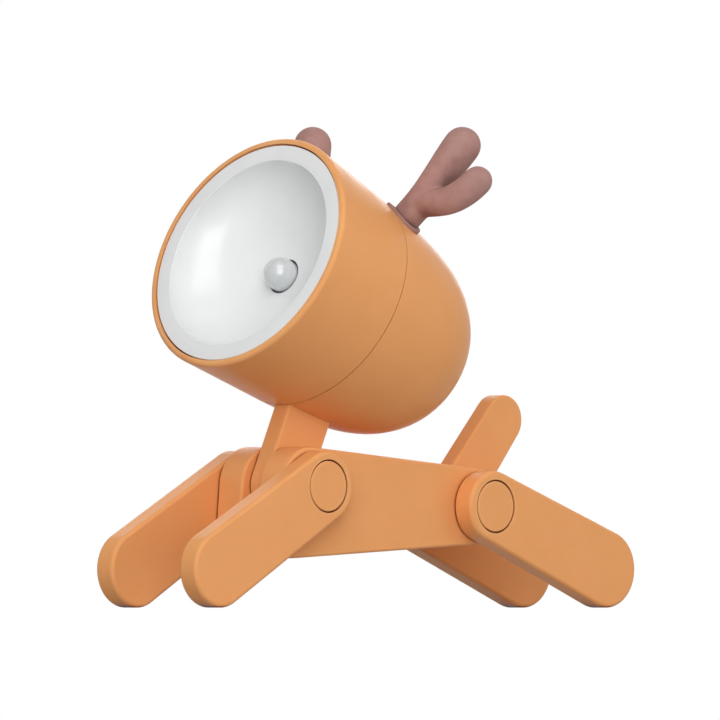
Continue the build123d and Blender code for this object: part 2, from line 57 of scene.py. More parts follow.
WHITE_LIGHT: Colour = (1.0, 1.0, 1.0, 1.0)
# Limits between which most values of a cloud pattern lie
CLOUD: Limits = (0.3, 0.7)
# Weights at the lower and the upper limit of a pattern
RISING: Limits = (0.0, 1.0)
FALLING: Limits = (1.0, 0.0)


class Side(Enum):
    """The two sides of the deer, with the sign of their outward direction along -Y."""

    LEFT = 1
    RIGHT = -1


class Slot(Enum):
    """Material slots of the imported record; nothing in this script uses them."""

    WHITE = "white_plastic"
    LENS = "clear_lens"
    SOFT = "soft_brown"
    DARK = "dark_plastic"


class Detail(Enum):
    """Octaves of finer cloud in a cloud pattern."""

    PLAIN = 2.0
    FINE = 3.0
    FINEST = 4.0


def tint(hex_code: str) -> Colour:
    """Turn a screen colour into a linear one by the usual screen curve.

    Args:
        hex_code: Six hexadecimal digits, red first.

    Returns:
        Linear red, green and blue with full alpha.
    """
    shares = [int(hex_code[i:i + 2], 16) / 255 for i in (0, 2, 4)]
    red, green, blue = [s / 12.92 if s <= 0.04045 else ((s + 0.055) / 1.055) ** 2.4 for s in shares]
    return red, green, blue, 1.0


class Shade:
    """A material's node tree, with short calls for the nodes that the finishes share."""

    CREASE_SAMPLES = 8
    # Places of the colour sockets on a mix node, which come after those for numbers and vectors
    MIX_SHARE, MIX_FIRST, MIX_SECOND, MIX_RESULT = 0, 6, 7, 2

    def __init__(self, name: str) -> None:
        """Start a material with a principled shader and Object coordinates.

        Args:
            name: Name of the material.
        """
        self.material = bpy.data.materials.new(name)
        self.material.use_nodes = True
        self.tree = self.material.node_tree
        self.tree.nodes.clear()
        self.output = self.tree.nodes.new("ShaderNodeOutputMaterial")
        self.shader = self.tree.nodes.new("ShaderNodeBsdfPrincipled")
        self.tree.links.new(self.shader.outputs["BSDF"], self.output.inputs["Surface"])
        self.place = self.tree.nodes.new("ShaderNodeTexCoord").outputs["Object"]

    def constants(self, **values: float | Colour) -> None:
        """Set the shader's own sockets.

        Args:
            **values: Socket names, with spaces written as underscores, and their values.
        """
        for name, value in values.items():
            self.shader.inputs[name.replace("_", " ")].default_value = value

    def drive(self, name: str, source: Socket) -> None:
        """Link a socket of the shader to a pattern."""
        self.tree.links.new(source, self.shader.inputs[name])

    def stretched(self, scale: Triple) -> Socket:
        """Scale the Object coordinates by axis.

        Args:
            scale: Factor along X, Y and Z.

        Returns:
            The scaled coordinates.
        """
        node = self.tree.nodes.new("ShaderNodeMapping")
        node.inputs["Scale"].default_value = scale
        self.tree.links.new(self.place, node.inputs["Vector"])
        return node.outputs["Vector"]

    def noise(self, size: float, detail: Detail = Detail.PLAIN, place: Socket | None = None) -> Socket:
        """Add a cloud pattern.

        Args:
            size: Width of one cloud.
            detail: How much finer cloud it holds.
            place: Coordinates, or None for the plain Object ones.

        Returns:
            The pattern's value.
        """
        node = self.tree.nodes.new("ShaderNodeTexNoise")
        node.inputs["Scale"].default_value = 1 / size
        node.inputs["Detail"].default_value = detail.value
        self.tree.links.new(place or self.place, node.inputs["Vector"])
        return node.outputs["Fac"]

    def cells(self, size: float) -> Socket:
        """Add a cell pattern.

        Args:
            size: Width of one cell.

        Returns:
            The distance from the middle of each cell.
        """
        node = self.tree.nodes.new("ShaderNodeTexVoronoi")
        node.inputs["Scale"].default_value = 1 / size
        self.tree.links.new(self.place, node.inputs["Vector"])
        return node.outputs["Distance"]

    def crease(self, reach: float, inside: bool = False) -> Socket:
        """Show how open the surface is, for painted shade in corners or, from inside, for painted
        highlights on edges.

        Args:
            reach: How far the surface looks for neighbours.
            inside: Whether it looks into the solid.

        Returns:
            One on open faces, falling towards zero in corners, or at edges when it looks inside.
        """
        node = self.tree.nodes.new("ShaderNodeAmbientOcclusion")
        node.samples = self.CREASE_SAMPLES
        node.inside = inside
        node.inputs["Distance"].default_value = reach
        return node.outputs["AO"]

    def along(self, direction: Sequence[float]) -> Socket:
        """Measure how far a place lies along a direction.

        Args:
            direction: Unit vector from the origin.

        Returns:
            The distance from the origin.
        """
        node = self.tree.nodes.new("ShaderNodeVectorMath")
        node.operation = "DOT_PRODUCT"
        self.tree.links.new(self.place, node.inputs[0])
        node.inputs[1].default_value = direction
        return node.outputs["Value"]

    def product(self, first: Socket, second: Socket) -> Socket:
        """Multiply two patterns.

        Args:
            first: One pattern.
            second: The other pattern.

        Returns:
            Their product.
        """
        node = self.tree.nodes.new("ShaderNodeMath")
        node.operation = "MULTIPLY"
        self.tree.links.new(first, node.inputs[0])
        self.tree.links.new(second, node.inputs[1])
        return node.outputs["Value"]

    def spread(self, source: Socket, values: Limits, limits: Limits = CLOUD) -> Socket:
        """Map a pattern to a range of values.

        Args:
            source: The pattern.
            values: Values at the lower and the upper limit.
            limits: The two limits of the pattern.

        Returns:
            The mapped value.
        """
        node = self.tree.nodes.new("ShaderNodeMapRange")
        for name, value in zip(("From Min", "From Max", "To Min", "To Max"), (*limits, *values)):
            node.inputs[name].default_value = value
        self.tree.links.new(source, node.inputs["Value"])
        return node.outputs["Result"]

    def tones(self, source: Socket, low: str, high: str, limits: Limits = CLOUD) -> Socket:
        """Colour a pattern from one tone to another.

        Args:
            source: The pattern.
            low: Screen colour at the lower limit.
            high: Screen colour at the upper limit.
            limits: The two limits of the pattern.

        Returns:
            The colour.
        """
        node = self.tree.nodes.new("ShaderNodeValToRGB")
        for element, limit, hex_code in zip(node.color_ramp.elements, limits, (low, high)):
            element.position = limit
            element.color = tint(hex_code)
        self.tree.links.new(source, node.inputs["Fac"])
        return node.outputs["Color"]

    def blended(self, share: Socket, first: Socket, second: Socket) -> Socket:
        """Mix two colour patterns.

        Args:
            share: Weight of the second colour.
            first: Colour where the weight is zero.
            second: Colour where the weight is one.

        Returns:
            The mixed colour.
        """
        node = self.tree.nodes.new("ShaderNodeMix")
        node.data_type = "RGBA"
        self.tree.links.new(share, node.inputs[self.MIX_SHARE])
        self.tree.links.new(first, node.inputs[self.MIX_FIRST])
        self.tree.links.new(second, node.inputs[self.MIX_SECOND])
        return node.outputs[self.MIX_RESULT]

    def bumps(self, height: Socket, depth: float, strength: float) -> None:
        """Raise the surface by a pattern.

        Args:
            height: The pattern.
            depth: Height of the pattern.
            strength: Share of the bump that shows.
        """
        node = self.tree.nodes.new("ShaderNodeBump")
        node.inputs["Distance"].default_value = depth
        node.inputs["Strength"].default_value = strength
        self.tree.links.new(height, node.inputs["Height"])
        self.tree.links.new(node.outputs["Normal"], self.shader.inputs["Normal"])


@dataclass(frozen=True)
class MouldedPlastic:
    """Moulded plastic with a fine spark-eroded grain and a slight drift of tone.

    Convex edges get a painted highlight, a paler tone, where an edge tone is given, on all edges or only up
    to limits along an axis. Narrow gaps get painted shade, a deeper tone, where a gap tone is given.
    """

    name: str
    light: str
    dark: str
    roughness: float
    grain: float
    grain_depth: float
    grain_strength: float = 0.35
    drift: float = 9 * MM
    polish: float = 2.25 * MM
    roughness_change: Limits = (-0.04, 0.05)
    gloss: float = 0.5
    refraction: float = 1.49
    glow: float = 0.0
    glow_reach: float = 3 * MM
    # The edge tone and the fields after it paint a highlight on convex edges
    edge: str = ""
    edge_highlight_reach: float = 1.0 * MM
    edge_highlight_openness: Limits = (0.35, 0.85)
    edge_highlight_axis: Triple | None = None
    edge_highlight_limits: Limits = (0.0, 0.0)
    # The gap tones and the fields after them paint shade in narrow gaps, where little light reaches
    gap_shade: str = ""
    gap_shade_pale: str = ""
    gap_shade_reach: float = 0.6 * MM
    gap_shade_openness: Limits = (0.15, 0.65)

    def material(self) -> bpy.types.Material:
        """Build the material.

        Returns:
            The new material.
        """
        shade = Shade(self.name)
        cloud = shade.noise(self.drift, Detail.FINE)
        tone = shade.tones(cloud, self.dark, self.light)
        # Painted highlight: a paler tone on convex edges, standing in for light caught on their rounds
        if self.edge:
            edge_highlight_tone = shade.tones(cloud, self.light, self.edge)
            edge_highlight_mask = shade.spread(shade.crease(self.edge_highlight_reach, inside=True), FALLING, self.edge_highlight_openness)
            if self.edge_highlight_axis:
                near = shade.spread(shade.along(self.edge_highlight_axis), FALLING, self.edge_highlight_limits)
                edge_highlight_mask = shade.product(edge_highlight_mask, near)
            tone = shade.blended(edge_highlight_mask, tone, edge_highlight_tone)
        # Painted shade: a deeper tone in narrow gaps, where the surface is hemmed in by neighbours
        if self.gap_shade:
            gap_shade_tone = shade.tones(cloud, self.gap_shade, self.gap_shade_pale)
            gap_shade_mask = shade.spread(shade.crease(self.gap_shade_reach), FALLING, self.gap_shade_openness)
            tone = shade.blended(gap_shade_mask, tone, gap_shade_tone)
        shade.drive("Base Color", tone)
        smoother, rougher = [self.roughness + change for change in self.roughness_change]
        polish = shade.noise(self.polish, Detail.FINEST)
        shade.drive("Roughness", shade.spread(polish, (smoother, rougher)))
        shade.constants(Specular_IOR_Level=self.gloss, IOR=self.refraction)
        shade.constants(Subsurface_Weight=self.glow, Subsurface_Scale=self.glow_reach)
        shade.bumps(shade.noise(self.grain, Detail.FINE), self.grain_depth, self.grain_strength)
        return shade.material


@dataclass(frozen=True)
class SoftRubber:
    """Matte soft rubber with a dusty bloom, fine pores and painted shade in its creases."""

    name: str
    light: str
    dark: str
    # Tone of the painted shade where the surface is hemmed in, in creases and near the head
    crease: str
    painted_shade_reach: float = 8 * MM
    painted_shade_openness: Limits = (0.35, 0.97)
    bloom: float = 2.4 * MM
    bloom_limits: Limits = (0.32, 0.68)
    polish: float = 0.8 * MM
    roughness: Limits = (0.62, 0.76)
    gloss: float = 0.12
    pore: float = 0.22 * MM
    pore_depth: float = 0.03 * MM
    pore_strength: float = 0.4

    def material(self) -> bpy.types.Material:
        """Build the material.

        Returns:
            The new material.
        """
        shade = Shade(self.name)
        bloom = shade.noise(self.bloom, Detail.FINEST)
        open_tone = shade.tones(bloom, self.dark, self.light, self.bloom_limits)
        # Painted shade: the crease tone where little light reaches
        painted_shade_tone = shade.tones(bloom, self.crease, self.dark, RISING)
        openness = shade.spread(shade.crease(self.painted_shade_reach), RISING, self.painted_shade_openness)
        shade.drive("Base Color", shade.blended(openness, painted_shade_tone, open_tone))
        shade.drive("Roughness", shade.spread(shade.noise(self.polish, Detail.FINE), self.roughness))
        shade.constants(Specular_IOR_Level=self.gloss)
        shade.bumps(shade.noise(self.pore, Detail.FINE), self.pore_depth, self.pore_strength)
        return shade.material


@dataclass(frozen=True)
class ClearResin:
    """Cast resin, milky, with faint flow lines under a clear coat."""

    name: str
    clear: str
    haze: str
    clearness: float
    flow: float = 1.1 * MM
    polish: float = 0.5 * MM
    roughness: Limits = (0.1, 0.15)
    refraction: float = 1.55
    coat_roughness: float = 0.06

    def material(self) -> bpy.types.Material:
        """Build the material.

        Returns:
            The new material.
        """
        shade = Shade(self.name)
        shade.drive("Base Color", shade.tones(shade.noise(self.flow), self.haze, self.clear))
        shade.drive("Roughness", shade.spread(shade.noise(self.polish), self.roughness))
        shade.constants(Transmission_Weight=self.clearness, IOR=self.refraction)
        shade.constants(Coat_Weight=1.0, Coat_Roughness=self.coat_roughness)
        return shade.material


@dataclass(frozen=True)
class WorkedMetal:
    """Bare metal with fine marks of its working across one axis."""

    name: str
    light: str
    dark: str
    roughness: float
    roughness_change: Limits = (-0.06, 0.1)
    mark: float = 0.3 * MM
    mark_depth: float = 0.01 * MM
    mark_strength: float = 0.3
    stretch: Triple = (1.0, 6.0, 1.0)

    def material(self) -> bpy.types.Material:
        """Build the material.

        Returns:
            The new material.
        """
        shade = Shade(self.name)
        marks = shade.noise(self.mark, Detail.FINEST, shade.stretched(self.stretch))
        shade.drive("Base Color", shade.tones(marks, self.dark, self.light))
        smoother, rougher = [self.roughness + change for change in self.roughness_change]
        shade.drive("Roughness", shade.spread(marks, (smoother, rougher)))
        shade.constants(Metallic=1.0)
        shade.bumps(marks, self.mark_depth, self.mark_strength)
        return shade.material


@dataclass(frozen=True)
class CircuitBoard:
    """Coated glass-fibre board with the weave showing faintly through."""

    name: str
    coat: str
    weave: str
    cell: float = 0.6 * MM
    cell_limits: Limits = (0.2, 0.8)
    cell_depth: float = 0.01 * MM
    cell_strength: float = 0.3
    polish: float = 1.5 * MM
    roughness: Limits = (0.25, 0.4)

    def material(self) -> bpy.types.Material:
        """Build the material.

        Returns:
            The new material.
        """
        shade = Shade(self.name)
        cells = shade.cells(self.cell)
        shade.drive("Base Color", shade.tones(cells, self.weave, self.coat, self.cell_limits))
        shade.drive("Roughness", shade.spread(shade.noise(self.polish), self.roughness))
        shade.bumps(cells, self.cell_depth, self.cell_strength)
        return shade.material


@dataclass
class HeadPlace:
    """Where the lamp head stands: the centre of its rim and its three directions."""

    rim: Vector = field(default_factory=lambda: Vector((-30.581, 0.0, 64.784)) * MM)
    pitch: float = math.radians(25.0)

    @property
    def up(self) -> Vector:
        """Direction up the face."""
        return Vector((math.sin(self.pitch), 0.0, math.cos(self.pitch)))

    @property
    def left(self) -> Vector:
        """Direction to the deer's left."""
        return Vector((0.0, -1.0, 0.0))

    @property
    def back(self) -> Vector:
        """Direction along the axis, away from the face."""
        return Vector((math.cos(self.pitch), 0.0, -math.sin(self.pitch)))

    def axis_frame(self) -> Matrix:
        """Place at the rim's centre, with X up the face and Z back along the axis.

        Returns:
            The place as a matrix.
        """
        turn = Matrix((self.up, self.left, self.back)).transposed()
        return Matrix.Translation(self.rim) @ turn.to_4x4()


class Finishes:
    """Every finish of the light, built once and shared."""

    # Depths behind the rim between which its painted edge highlight fades out
    EDGE_HIGHLIGHT_DEPTHS: Limits = (2 * MM, 3 * MM)

    def __init__(self, head: HeadPlace) -> None:
        """Build the materials.

        Args:
            head: Where the lamp head stands, for the rubbed rim.
        """
        # The edge tone paints a highlight on convex edges, on the shells only near the rim; the gap tones
        # paint shade in narrow gaps
        orange = MouldedPlastic(
            "orange_satin", "F4AB6D", "F1A869", roughness=0.36, grain=0.16 * MM, grain_depth=0.005 * MM,
            gloss=0.07, glow=0.08, edge="FDC48A", gap_shade="922800", gap_shade_pale="A23A08")
        self.orange = orange.material()
        rim = head.rim.dot(head.back)
        near, far = self.EDGE_HIGHLIGHT_DEPTHS
        self.shell = replace(
            orange, name="orange_shell", gap_shade="CD7A43", gap_shade_pale="D88A54", edge_highlight_axis=tuple(head.back),
            edge_highlight_limits=(rim + near, rim + far)).material()
        self.white = MouldedPlastic(
            "white_gloss", "F2F3F3", "EDEEEE", roughness=0.2, grain=0.5 * MM, grain_depth=0.004 * MM,
            gloss=0.55).material()
        self.dark = MouldedPlastic(
            "dark_moulding", "36383B", "2B2D30", roughness=0.5, grain=0.2 * MM,
            grain_depth=0.01 * MM).material()
        # The third tone of the antlers' and the phosphor's rubber is painted shade for their creases
        self.antler = SoftRubber("antler_rubber", "BA9088", "B0867E", "522F2A").material()
        self.resin = ClearResin("lamp_resin", "E2E5E5", "DADDDE", clearness=0.15).material()
        self.steel = WorkedMetal("plated_steel", "D3D5D8", "B4B7BB", roughness=0.3).material()
        self.brass = WorkedMetal("sprung_brass", "D8B36A", "BF964C", roughness=0.32).material()
        self.board = CircuitBoard("board_coat", "459069", "3A7D5A").material()
        self.phosphor = SoftRubber("lamp_phosphor", "FAFAF6", "F5F4EE", "DEDBCE").material()


def paint(mesh: bpy.types.Mesh, material: bpy.types.Material) -> None:
    """Give a mesh one material."""
    mesh.materials.clear()
    mesh.materials.append(material)


def dress(nodes: Iterable[str], material: bpy.types.Material) -> None:
    """Give CAD nodes a material.

    Args:
        nodes: Names of the nodes.
        material: The material for all of them.
    """
    for name in nodes:
        paint(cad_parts[name].data, material)
        LOG.info("dressed %s", name)


def quarter(steps: int) -> list[float]:
    """Angles from zero to a right angle in equal steps."""
    return [math.pi / 2 * i / steps for i in range(steps + 1)]


def lathe(profile: Profile, segments: int, loop: bool = False) -> bmesh.types.BMesh:
    """Turn a profile about the local Z axis.

    Args:
        profile: Radii and heights, from one pole to the other or round a loop.
        segments: Steps round the axis.
        loop: Whether the profile's end joins its start.

    Returns:
        A closed mesh with its faces pointing outwards.
    """
    mesh = bmesh.new()
    rings: list[list[bmesh.types.BMVert]] = []
    for radius, height in profile:
        count = segments if radius > 0 else 1
        turns = [2 * math.pi * i / segments for i in range(count)]
        rings.append([mesh.verts.new((radius * math.cos(t), radius * math.sin(t), height)) for t in turns])
    for lower, upper in zip(rings, rings[1:] + rings[:1] if loop else rings[1:]):
        for i in range(segments):
            corners = [lower[i % len(lower)], lower[(i + 1) % len(lower)],
                       upper[(i + 1) % len(upper)], upper[i % len(upper)]]
            mesh.faces.new(list(dict.fromkeys(corners)))
    mesh.normal_update()
    bmesh.ops.recalc_face_normals(mesh, faces=mesh.faces)
    if mesh.calc_volume(signed=True) < 0:
        bmesh.ops.reverse_faces(mesh, faces=mesh.faces)
    return mesh


def written(shape: bmesh.types.BMesh, name: str) -> bpy.types.Mesh:
    """Write a working mesh to a new plain one and free it.

    Args:
        shape: The working mesh.
        name: Name of the plain mesh.

    Returns:
        The plain mesh.
    """
    mesh = bpy.data.meshes.new(name)
    shape.to_mesh(mesh)
    shape.free()
    return mesh


def piece(name: str, mesh: bpy.types.Mesh, body: str) -> bpy.types.Object:
    """Make a finished piece that rides on a body.

    Args:
        name: Name of the piece.
        mesh: Its mesh, already in place.
        body: The body that carries it.

    Returns:
        The new object.
    """
    mesh.name = name
    item = bpy.data.objects.new(name, mesh)
    bpy.context.scene.collection.objects.link(item)
    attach(item, body)
    LOG.info("built %s: %d faces", name, len(mesh.polygons))
    return item


def smooth(mesh: bpy.types.Mesh, angle: float = 35.0) -> None:
    """Shade a mesh smooth except at edges sharper than an angle in degrees."""
    mesh.shade_smooth()
    mesh.set_sharp_from_angle(angle=math.radians(angle))


def united(first: bpy.types.Mesh, second: bpy.types.Mesh) -> bpy.types.Mesh:
    """Unite two closed meshes into one skin.

    Args:
        first: A closed mesh.
        second: A closed mesh that overlaps it.

    Returns:
        A plain mesh without the faces that lie inside.
    """
    items = [bpy.data.objects.new(mesh.name, mesh) for mesh in (first, second)]
    for item in items:
        bpy.context.scene.collection.objects.link(item)
    modifier = items[0].modifiers.new("unite", "BOOLEAN")
    modifier.operation = "UNION"
    modifier.solver = "MANIFOLD"
    modifier.object = items[1]
    evaluated = items[0].evaluated_get(bpy.context.evaluated_depsgraph_get())
    mesh = bpy.data.meshes.new_from_object(evaluated)
    for item in items:
        bpy.data.objects.remove(item)
    return mesh


@dataclass(frozen=True)
class Prong:
    """A round prong along a bent line: places outward and up in the antler's plane, and radii, in mm."""

    places: tuple[Triple, ...]


LONG_PRONG = Prong((
    (0.6, 0.1, 2.85), (0.51, 2.86, 2.83), (0.25, 5.72, 2.88), (-0.16, 8.55, 3.04),
    (-0.67, 11.37, 3.22), (-1.22, 14.18, 3.4), (-1.75, 17.0, 3.5),
))
SIDE_PRONG = Prong((
    (0.6, 3.9, 2.5), (2.44, 5.31, 2.52), (4.24, 6.76, 2.58), (5.87, 8.42, 2.67),
    (7.11, 10.37, 2.74), (7.86, 12.55, 2.78), (8.15, 14.85, 2.8),
))


class ProngTree:
    """A node tree that sweeps prongs along their lines and blends them into one skin."""

    ROUND_STEPS = 40
    BALL_RINGS = 24
    LINE_STEPS = 48
    BAND = 0.5 * MM
    THRESHOLD = 0.05
    INPUTS = (("Steps", "Int"), ("Voxel", "Float"), ("Rounds", "Int"), ("Finish", "Material"))

    def __init__(self) -> None:
        """Build the tree and its named inputs."""
        self.tree = bpy.data.node_groups.new("blended_prongs", "GeometryNodeTree")
        self.link = self.tree.links.new
        face = self.tree.interface
        face.new_socket("Geometry", in_out="INPUT", socket_type="NodeSocketGeometry")
        self.inputs = {
            name: face.new_socket(name, in_out="INPUT", socket_type=f"NodeSocket{kind}").identifier
            for name, kind in self.INPUTS
        }
        face.new_socket("Geometry", in_out="OUTPUT", socket_type="NodeSocketGeometry")
        start = self._node("NodeGroupInput")
        self._finish(start, self._blend(start, self._sweep(start)))

    def _node(self, kind: str, **values: object) -> bpy.types.Node:
        """Add a node.

        Args:
            kind: Type of the node.
            **values: Its properties.

        Returns:
            The new node.
        """
        node = self.tree.nodes.new(kind)
        for name, value in values.items():
            setattr(node, name, value)
        return node

    def _sweep(self, start: bpy.types.Node) -> Socket:
        """Sweep a round along each line and set a ball on its tip.

        Args:
            start: The tree's input node.

        Returns:
            The prongs as separate solids.
        """
        curved = self._node("GeometryNodeCurveSplineType", spline_type="CATMULL_ROM")
        self.link(start.outputs["Geometry"], curved.inputs["Curve"])
        steps = self._node("GeometryNodeResampleCurve")
        self.link(curved.outputs["Curve"], steps.inputs["Curve"])
        self.link(start.outputs["Steps"], steps.inputs["Count"])
        ring = self._node("GeometryNodeCurvePrimitiveCircle")
        ring.inputs["Resolution"].default_value = self.ROUND_STEPS
        ring.inputs["Radius"].default_value = 1.0
        sweep = self._node("GeometryNodeCurveToMesh")
        sweep.inputs["Fill Caps"].default_value = True
        self.link(steps.outputs["Curve"], sweep.inputs["Curve"])
        self.link(ring.outputs["Curve"], sweep.inputs["Profile Curve"])
        thickness = self._node("GeometryNodeInputRadius")
        self.link(thickness.outputs["Radius"], sweep.inputs["Scale"])
        ends = self._node("GeometryNodeCurveEndpointSelection")
        ends.inputs["Start Size"].default_value = 0
        ball = self._node("GeometryNodeMeshUVSphere")
        ball.inputs["Segments"].default_value = self.ROUND_STEPS
        ball.inputs["Rings"].default_value = self.BALL_RINGS
        ball.inputs["Radius"].default_value = 1.0
        tips = self._node("GeometryNodeInstanceOnPoints")
        self.link(steps.outputs["Curve"], tips.inputs["Points"])
        self.link(ends.outputs["Selection"], tips.inputs["Selection"])
        self.link(ball.outputs["Mesh"], tips.inputs["Instance"])
        self.link(thickness.outputs["Radius"], tips.inputs["Scale"])
        plain = self._node("GeometryNodeRealizeInstances")
        self.link(tips.outputs["Instances"], plain.inputs["Geometry"])
        both = self._node("GeometryNodeJoinGeometry")
        self.link(sweep.outputs["Mesh"], both.inputs["Geometry"])
        self.link(plain.outputs["Geometry"], both.inputs["Geometry"])
        return both.outputs["Geometry"]

    def _blend(self, start: bpy.types.Node, solids: Socket) -> Socket:
        """Turn the solids into one relaxed skin.

        Args:
            start: The tree's input node.
            solids: The prongs as separate solids.

        Returns:
            The skin.
        """
        fill = self._node("GeometryNodeMeshToVolume", resolution_mode="VOXEL_SIZE")
        self.link(solids, fill.inputs["Mesh"])
        fill.inputs["Interior Band Width"].default_value = self.BAND
        self.link(start.outputs["Voxel"], fill.inputs["Voxel Size"])
        skin = self._node("GeometryNodeVolumeToMesh", resolution_mode="GRID")
        skin.inputs["Threshold"].default_value = self.THRESHOLD
        self.link(fill.outputs["Volume"], skin.inputs["Volume"])
        where = self._node("GeometryNodeInputPosition")
        relax = self._node("GeometryNodeBlurAttribute", data_type="FLOAT_VECTOR")
        self.link(where.outputs["Position"], relax.inputs["Value"])
        self.link(start.outputs["Rounds"], relax.inputs["Iterations"])
        move = self._node("GeometryNodeSetPosition")
        self.link(skin.outputs["Mesh"], move.inputs["Geometry"])
        self.link(relax.outputs["Value"], move.inputs["Position"])
        return move.outputs["Geometry"]

    def _finish(self, start: bpy.types.Node, skin: Socket) -> None:
        """Shade the skin smooth, make it plain and give it its finish.

        Args:
            start: The tree's input node.
            skin: The blended skin.
        """
        even = self._node("GeometryNodeSetShadeSmooth")
        self.link(skin, even.inputs["Geometry"])
        real = self._node("GeometryNodeRealizeInstances")
        self.link(even.outputs["Geometry"], real.inputs["Geometry"])
        coat = self._node("GeometryNodeSetMaterial")
        self.link(real.outputs["Geometry"], coat.inputs["Geometry"])
        self.link(start.outputs["Finish"], coat.inputs["Material"])
        end = self._node("NodeGroupOutput")
        self.link(coat.outputs["Geometry"], end.inputs["Geometry"])

    def skin(self, prongs: Sequence[Prong], voxel: float, rounds: int,
             material: bpy.types.Material) -> bpy.types.Mesh:
        """Sweep and blend a set of prongs.

        Args:
            prongs: The prongs, in the antler's own plane.
            voxel: Grain of the blended skin.
            rounds: How often the skin is relaxed.
            material: Finish of the skin.

        Returns:
            A plain mesh.
        """
        lines = bpy.data.curves.new("prong_lines", "CURVE")
        lines.dimensions = "3D"
        for prong in prongs:
            spline = lines.splines.new("POLY")
            spline.points.add(len(prong.places) - 1)
            for point, (out, up, radius) in zip(spline.points, prong.places):
                point.co = (out * MM, 0, up * MM, 1)
                point.radius = radius * MM
        holder = bpy.data.objects.new("prong_lines", lines)
        bpy.context.scene.collection.objects.link(holder)
        modifier = holder.modifiers.new("blend", "NODES")
        modifier.node_group = self.tree
        values = {"Steps": self.LINE_STEPS, "Voxel": voxel, "Rounds": rounds, "Finish": material}
        for name, value in values.items():
            modifier[self.inputs[name]] = value
        evaluated = holder.evaluated_get(bpy.context.evaluated_depsgraph_get())
        mesh = bpy.data.meshes.new_from_object(evaluated)
        bpy.data.objects.remove(holder)
        return mesh


@dataclass
class Antlers:
    """The two soft antlers: blended prongs on a collar that hugs the shell."""

    head: HeadPlace
    seat_depth: float = 23.418 * MM
    seat_radius: float = 21.077 * MM
    turn: float = math.radians(33.0)
    lean: float = math.radians(4.0)
    collar: float = 3.95 * MM
    collar_flat: float = 2.9 * MM
    collar_height: float = 0.6 * MM
    collar_skirt: float = 0.35 * MM
    collar_round: float = 0.25 * MM
    collar_round_steps: int = 6
    skirt_insets: tuple[float, ...] = (0.0, 0.5 * MM, 1.0 * MM, 1.5 * MM)
    plug: float = 2.0 * MM
    plug_depth: float = 4.5 * MM
    barb: float = 2.5 * MM
    barb_height: float = 1.2 * MM
    barb_step: float = 0.001 * MM
    segments: int = 72
    voxel: float = 0.16 * MM
    rounds: int = 40
    sharp: float = 50.0

    def seat(self, side: Side) -> Matrix:
        """Place of an antler, its Z up the trunk and its X outward.

        Args:
            side: Side of the deer.

        Returns:
            The place as a matrix.
        """
        aside = self.head.left * side.value
        radial = self.head.up * math.cos(self.turn) + aside * math.sin(self.turn)
        outward = aside * math.cos(self.turn) - self.head.up * math.sin(self.turn)
        trunk = radial * math.cos(self.lean) + self.head.back * math.sin(self.lean)
        origin = self.head.rim + self.head.back * self.seat_depth + radial * self.seat_radius
        across = trunk.cross(outward)
        return Matrix.Translation(origin) @ Matrix((outward, across, trunk)).transposed().to_4x4()

    def foot(self) -> bmesh.types.BMesh:
        """The collar and the barbed plug below it, with the collar bent down to the shell.

        Returns:
            A closed mesh in the antler's own frame.
        """
        top = [(0.0, self.collar_height), (self.collar_flat, self.collar_height)]
        edge = [
            (self.collar - self.collar_round * (1 - math.sin(a)),
             self.collar_height - self.collar_round * (1 - math.cos(a)))
            for a in quarter(self.collar_round_steps)
        ]
        skirt = [(self.collar - inset, -self.collar_skirt) for inset in self.skirt_insets]
        barb_level = self.barb_height - self.plug_depth
        stem = [
            (self.plug, -self.collar_skirt), (self.plug, barb_level - self.barb_step),
            (self.barb, barb_level), (self.plug, -self.plug_depth), (0.0, -self.plug_depth),
        ]
        mesh = lathe([*top, *edge, *skirt, *stem], self.segments)
        for vert in mesh.verts:
            if vert.co.z > -2 * self.collar_skirt:
                vert.co.z -= vert.co.x ** 2 / (2 * self.seat_radius)
        return mesh

    def build(self, finishes: Finishes) -> None:
        """Build both antlers in place of their CAD nodes.

        Args:
            finishes: The light's finishes.
        """
        tree = ProngTree()
        for side in Side:
            prongs = tree.skin((LONG_PRONG, SIDE_PRONG), self.voxel, self.rounds, finishes.antler)
            skin = united(prongs, written(self.foot(), "collar"))
            mesh = bmesh.new()
            mesh.from_mesh(skin)
            mesh.transform(self.seat(side))
            bmesh.ops.recalc_face_normals(mesh, faces=mesh.faces)
            for face in mesh.faces:
                face.material_index = 0
            mesh.to_mesh(skin)
            mesh.free()
            paint(skin, finishes.antler)
            smooth(skin, self.sharp)
            name = f"antler_{side.name.lower()}"
            item = piece(f"{name}_skin", skin, "head")
            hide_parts(name)


